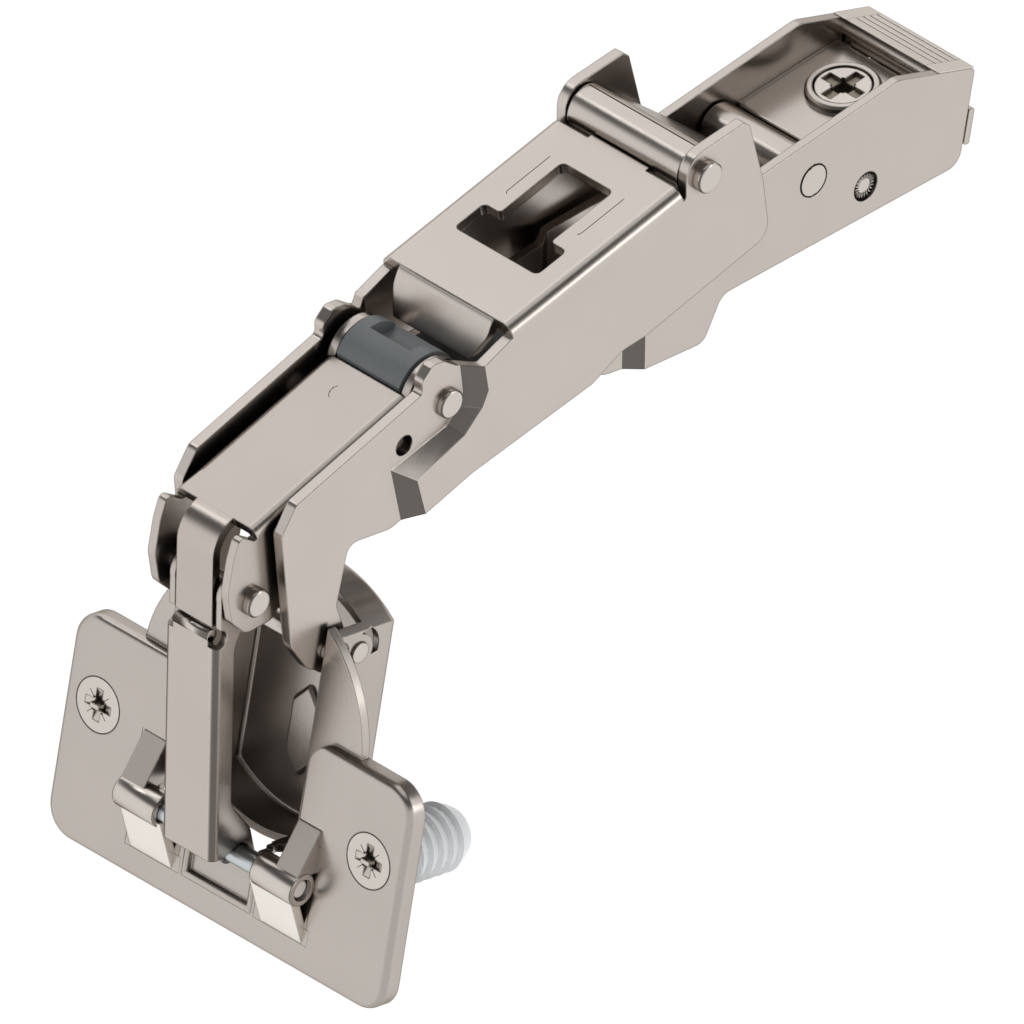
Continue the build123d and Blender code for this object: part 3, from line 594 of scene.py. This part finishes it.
# the cover's nickel is painted much lighter, as painted light on its top, with little painted
# shade
lit_cover_sheet = nickel("nickel_cover_lit", (0.78, 0.72, 0.67), 0.24, 0.2, least=0.8)
cover_top = plane_at(*COVER)
grooves = [GROOVE_START + GROOVE_STEP * index for index in range(4)]
starts = [0.0] + [groove + GROOVE_HALF for groove in grooves]
stops = [groove - GROOVE_HALF for groove in grooves] + [COVER_LENGTH]
cover = bmesh.new()
for start, stop in zip(starts, stops):
    near = (start, -GROOVE_SPAN, COVER_LOW)
    add_block(cover, cover_top, near, (stop, GROOVE_SPAN, COVER_HIGH), 0.05)
for side in (-1, 1):
    inner, outer = sorted((side * EDGE_ACROSS[0], side * EDGE_ACROSS[1]))
    add_block(cover, cover_top, (0, inner, COVER_LOW), (COVER_LENGTH, outer, COVER_HIGH), 0.08)
add_piece("cover_ribs", cover, lit_cover_sheet, "arm")

# The rolled link's strip meets its own roll in a fine seam along the eye.
# The seam shows as a dark line near the top of the roll.
ROLL = (-0.0237, 0.0206)
ROLL_R = 0.003
SEAM_ANGLE = radians(82)
SEAM_SIZE = (0.0001, 0.0176, 0.0001)
seam_x = ROLL[0] + ROLL_R * cos(SEAM_ANGLE)
seam_z = ROLL[1] + ROLL_R * sin(SEAM_ANGLE)
seam_size = Matrix.Diagonal((*SEAM_SIZE, 1))
seam = bmesh.new()
bmesh.ops.create_cube(seam, size=1.0, matrix=Matrix.Translation((seam_x, 0, seam_z)) @ seam_size)
add_piece("link_seam", seam, mark_dark, "inner_link")

# The screw floor of the slide is folded down along both walls of the arm.
# Each fold shows as a fine edge beside the wall.
FLOOR_TOP = ((0.3, 10.43), 4.6)
FOLD_ACROSS = 7.36
FOLD_SPAN = (0.4, 16.4)
FOLD_WIDTH = 0.46
FOLD_HEIGHT = 0.12
floor_top = plane_at(*FLOOR_TOP)
folds = bmesh.new()
for side in (-1, 1):
    fold = [(along, side * FOLD_ACROSS) for along in FOLD_SPAN]
    add_strip(folds, floor_top, fold, FOLD_WIDTH, FOLD_HEIGHT)
add_piece("floor_folds", folds, lit_sheet, "arm")

# The cup lever's upper edge is rolled inwards, behind the middle channel's tongue.
# The roll is a round bead across the lever's width.
LIP = (-97.0, -14.4)
LIP_R = 0.8
LIP_LENGTH = 5.8
lip = bmesh.new()
lip_place = Matrix.Translation((LIP[0] / 1000, 0, LIP[1] / 1000)) @ Matrix.Rotation(pi / 2, 4, "X")
bmesh.ops.create_cone(
    lip,
    cap_ends=True,
    segments=32,
    radius1=LIP_R / 1000,
    radius2=LIP_R / 1000,
    depth=LIP_LENGTH / 1000,
    matrix=lip_place,
)
for face in lip.faces:
    face.smooth = len(face.verts) == 4
add_piece("lever_lip", lip, plated_pin, "cup_lever")

# Fine joints round the countersunk heads, with the driver's star marks.
# The marks lie between the wings of each cross recess.
HEAD_R = 3.5
JOINT_WIDTH = 0.10
STAR_SPAN = (1.1, 2.1)
STAR_WIDTH = 0.09
joints = bmesh.new()
for side in (-1, 1):
    middle = side * SCREW_ACROSS
    add_arc(joints, flange_plane, (middle, 0), HEAD_R, 0, 360, JOINT_WIDTH, LINE_HEIGHT)
    for index in range(4):
        angle = radians(45 + 90 * index)
        ray = [(middle + r * cos(angle), r * sin(angle)) for r in STAR_SPAN]
        add_strip(joints, flange_plane, ray, STAR_WIDTH, LINE_HEIGHT)
add_piece("screw_marks", joints, mark_dark, "cup")

# Closed joint round each end of the rear pivot pin, flush in the arm's wall.
# Behind it the latch pin's ends are knurled inside their round holes.
ARM_FACE = 8.8
REAR_PIVOT = (-3.3, 9.2)
REAR_RIVET_R = 2.1
RING_LIFT = 0.05
RING_WIDTH = 0.16
RING_HEIGHT = 0.05
LATCH_PIVOT = (5.5, 4.2)
LATCH_SINK = 0.45
FLUTES = 20
FLUTE_SPAN = (1.05, 1.5)
FLUTE_WIDTH = 0.16
FLUTE_DEPTH = 0.5
upright = Matrix.Rotation(pi / 2, 4, "X")
rings = bmesh.new()
knurl = bmesh.new()
for side in (-1, 1):
    face = Matrix.Translation((0, side * (ARM_FACE + RING_LIFT) / 1000, 0)) @ upright
    add_arc(rings, face, REAR_PIVOT, REAR_RIVET_R, 0, 360, RING_WIDTH, RING_HEIGHT)
    end = Matrix.Translation((0, side * (ARM_FACE - LATCH_SINK) / 1000, 0)) @ upright
    for index in range(FLUTES):
        angle = radians(360 / FLUTES * index)
        flute = []
        for r in FLUTE_SPAN:
            flute.append((LATCH_PIVOT[0] + r * cos(angle), LATCH_PIVOT[1] + r * sin(angle)))
        add_strip(knurl, end, flute, FLUTE_WIDTH, FLUTE_DEPTH)
add_piece("rivet_rings", rings, mark_dark, "arm")
add_piece("latch_knurl", knurl, plated_pin, "arm")

# Grey sleeve moulded in nylon, pushed on the middle pin. Its tail runs back
# between the middle channel's rear arms.
NYLON_GREY = (0.175, 0.19, 0.195)
TAIL_HALF = 4.5
TAIL_SIDE = [(-61.0, 2.6), (-49.0, 1.2), (-47.2, 2.8), (-47.4, 5.6), (-60.5, 5.2)]


def moulding(name, colour, roughness):
    """Moulded plastic with a fine even grain."""
    plastic = bpy.data.materials.new(name)
    plastic.use_nodes = True
    nodes = plastic.node_tree.nodes
    links = plastic.node_tree.links
    surface = nodes["Principled BSDF"]
    surface.inputs["Roughness"].default_value = roughness
    place = nodes.new("ShaderNodeTexCoord")
    grain = nodes.new("ShaderNodeTexNoise")
    grain.inputs["Scale"].default_value = 1500.0
    links.new(place.outputs["Object"], grain.inputs["Vector"])
    tone = nodes.new("ShaderNodeMix")
    tone.data_type = "RGBA"
    tone.inputs["A"].default_value = (*[0.9 * part for part in colour], 1)
    tone.inputs["B"].default_value = (*[min(1.0, 1.08 * part) for part in colour], 1)
    links.new(grain.outputs["Fac"], tone.inputs["Factor"])
    links.new(tone.outputs["Result"], surface.inputs["Base Color"])
    relief = nodes.new("ShaderNodeBump")
    relief.inputs["Strength"].default_value = 0.2
    relief.inputs["Distance"].default_value = 0.00003
    links.new(grain.outputs["Fac"], relief.inputs["Height"])
    links.new(relief.outputs["Normal"], surface.inputs["Normal"])
    return plastic


grey_nylon = moulding("grey_nylon", NYLON_GREY, 0.42)
finish_node("bearing_sleeve", grey_nylon)
side_view = Matrix(((0, 1, 0), (1, 0, 0), (0, 0, 1))).to_4x4()
tail = bmesh.new()
add_prism(tail, side_view, TAIL_SIDE, -TAIL_HALF, TAIL_HALF)
add_piece("sleeve_tail", tail, grey_nylon, "middle_channel")

# Dowels moulded in natural nylon, pale and a little glossy.
# They are pressed over the flange screws from behind.
finish_node("dowels", moulding("natural_nylon", (0.78, 0.80, 0.81), 0.3))
